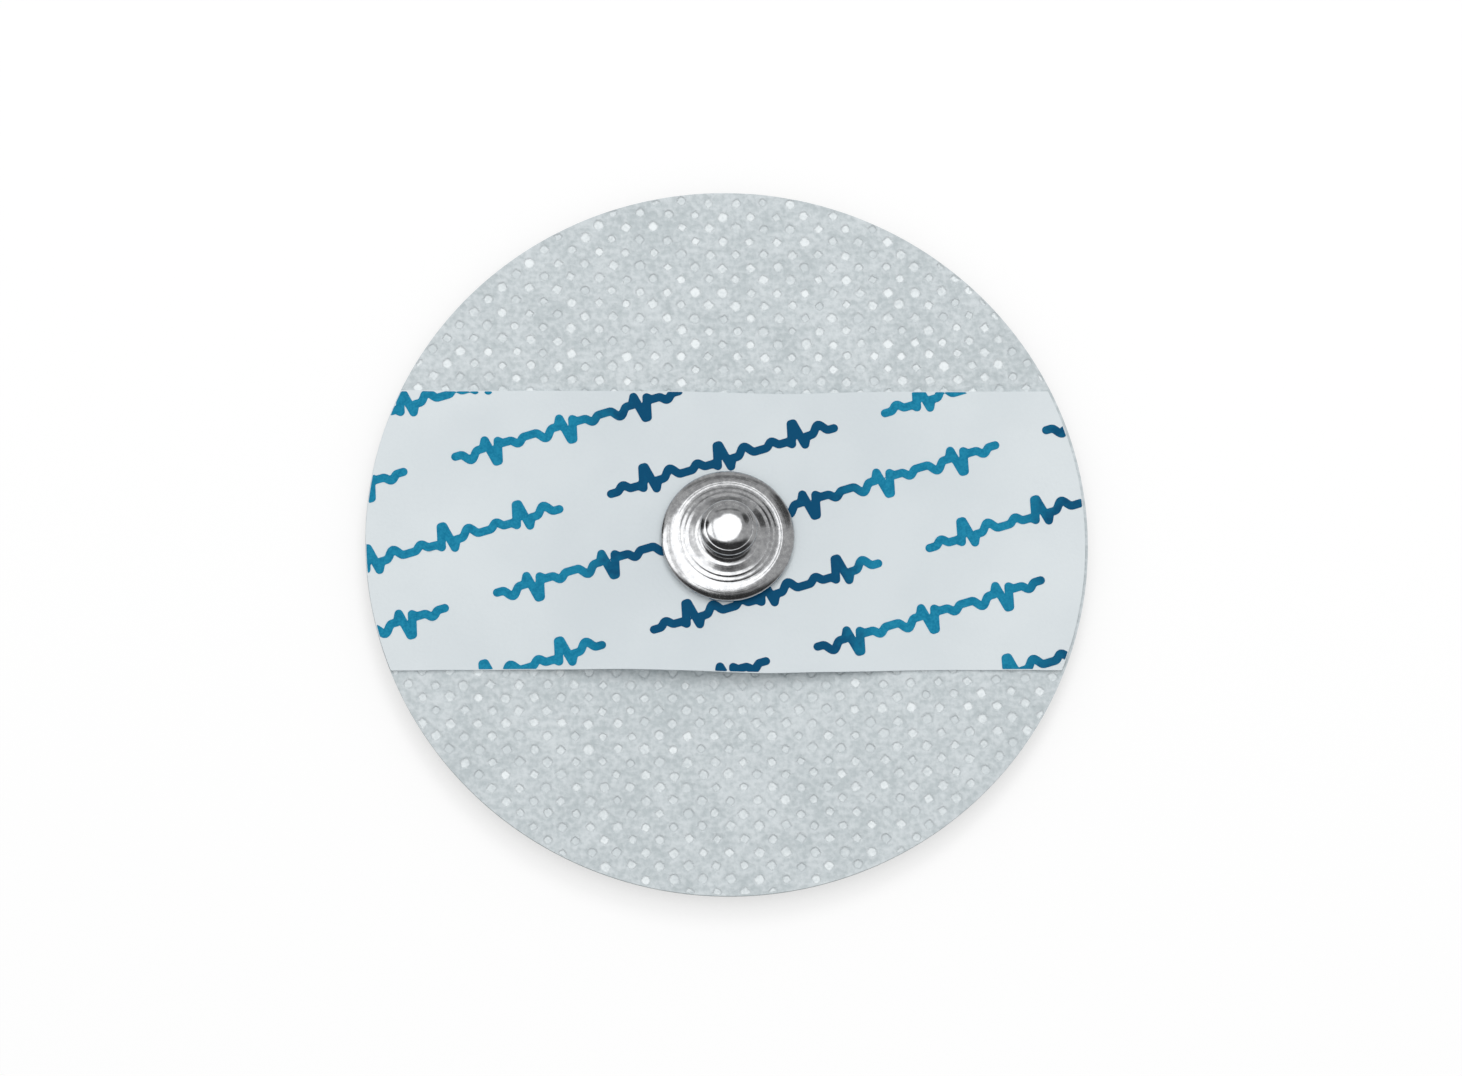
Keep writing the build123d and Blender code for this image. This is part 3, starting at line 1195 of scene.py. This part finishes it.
# %% Floor
floor_size = 2.4
floor_glow = 0.56
floor_share = 0.46
corners = ((-1, -1), (1, -1), (1, 1), (-1, 1))
half_floor = floor_size / MM / 2
floor_plan = [(x * half_floor, y * half_floor, 0) for x, y in corners]
floor = new_piece("floor", floor_plan, [(0, 1, 2, 3)], smooth=False)
floor_look = Finish(
    "white_floor", roughness=0.9, specular_ior_level=0.0, emission_strength=1.0,
    base_color=(floor_share, floor_share, floor_share, 1.0),
)
floor_look.set("Emission Color", floor_look.seen_rays() * floor_glow)
floor.data.materials.append(floor_look.material)
print("floor glow", floor_glow)

# %% [markdown]
# A mirror-bright stud shows whatever stands around it, and in a plain white room it would look like
# plain white plastic. Photographers put bright metal in a tent: a white window where the shine is
# wanted, and grey or black cloth elsewhere. This tent is a half sphere that glows by direction: the
# window overhead makes the round highlight on the cap, and the one at the side whitens the plate's
# left and lower parts. Only reflections see the tent, so it neither lights the nonwoven nor hides the
# white background.

# %% Reflection tent
tent_radius = 500.0
tent_steps = 24
tent_foot = 1.62
tent_turns = np.linspace(tent_foot, 0.0, tent_steps)
tent_section = [(tent_radius * math.sin(turn), tent_radius * math.cos(turn)) for turn in tent_turns]
tent = lathe("reflection_tent", tent_section, 0.0, 64, closed=False)
black = (0.0, 0.0, 0.0, 1.0)
tent_look = Finish("tent_cloth", specular_ior_level=0.0, base_color=black, emission_strength=1.0)
scale = {0: tent_look.place(), "Scale": 1 / (tent_radius * MM)}
toward = tent_look.node("ShaderNodeVectorMath", {"operation": "SCALE"}, scale)
across = tent_look.node("ShaderNodeSeparateXYZ", {}, {"Vector": toward}, "X")
along = tent_look.node("ShaderNodeSeparateXYZ", {}, {"Vector": toward}, "Y")


def spot(centre, size, edge=0.12):
    """1 inside an oval patch of the tent, and 0 outside it."""
    off_x = (across - centre[0]) / size[0]
    off_y = (along - centre[1]) / size[1]
    return 1 - (off_x * off_x + off_y * off_y).ramp(1 - edge, 1 + edge)


grey_cloth = 0.52
black_cloth = 0.05
horizon_cloth = 0.45
side_level = 2.0
overhead_level = 2.4
overhead_window = spot((0.031, 0.235), (0.24, 0.20))
side_window = spot((-0.33, 0.04), (0.56, 0.345))
bar = across.ramp(-0.56, -0.54) * (1 - across.ramp(-0.43, -0.41))
dark_flag = spot((0.60, 0.52), (0.20, 0.20), 0.3)
left_flag = spot((-0.93, 0.36), (0.18, 0.20), 0.3)
dark_strip = along.ramp(0.67, 0.72) * (1 - along.ramp(0.79, 0.84)) * (1 - (across * across).ramp(0.1, 0.3))
horizon = (across * across + along * along).ramp(0.84, 0.93)
cloth = black_cloth + (grey_cloth - black_cloth) * along.ramp(-0.45, -0.20) * across.ramp(-0.95, -0.80)
cloth = cloth * (1 - dark_flag * 0.85) * (1 - dark_strip * 0.6)
cloth = cloth * (1 - horizon) + horizon * horizon_cloth
side = side_window * (1 - bar * 0.75)
glow = (cloth * (1 - side) + side * side_level) * (1 - left_flag * 0.9)
glow = glow * (1 - overhead_window) + overhead_window * overhead_level
tent_look.set("Emission Color", glow)
tent_look.material.cycles.emission_sampling = "NONE"
tent.data.materials.append(tent_look.material)
tent.visible_camera = False
tent.visible_diffuse = False
tent.visible_shadow = False
tent.visible_transmission = False
print("tent of", len(tent.data.polygons), "faces")

# %% [markdown]
# The world is an even white sky. Seen rays find it fully white, so a low view has the background of
# the high one, and light rays find it dimmer. A large soft lamp overhead adds to it, and a smaller
# one from the far side rakes over the bond dots and throws the strip's soft shadow.

# %% World and lamps
sky_level = 0.60
world = bpy.data.worlds.new("studio")
bpy.context.scene.world = world
world.use_nodes = True
sky = Nodes(world.node_tree)
background = world.node_tree.nodes["Background"]
background.inputs["Color"].default_value = (1.0, 1.0, 1.0, 1.0)
sky.feed(background.inputs["Strength"], sky.seen_rays() * (1 - sky_level) + sky_level)


def lamp(name, azimuth, elevation, distance, size, level):
    """A square soft lamp that faces the object. `level` is its brightness, where 1 is paper white."""
    data = bpy.data.lights.new(name, "AREA")
    data.shape = "SQUARE"
    data.size = size
    data.energy = level * math.pi * size * size
    made = bpy.data.objects.new(name, data)
    bpy.context.scene.collection.objects.link(made)
    toward = direction(math.radians(azimuth), math.radians(elevation))
    made.location = toward * distance
    made.rotation_euler = toward.to_track_quat("Z", "Y").to_euler()
    made.visible_glossy = False
    return made


lamp("overhead", 180, 80, 0.55, 0.55, 0.95)
lamp("far_side", 172, 45, 0.60, 0.20, 5.5)
bpy.context.scene.view_settings.view_transform = "Standard"
print("lamps in place")
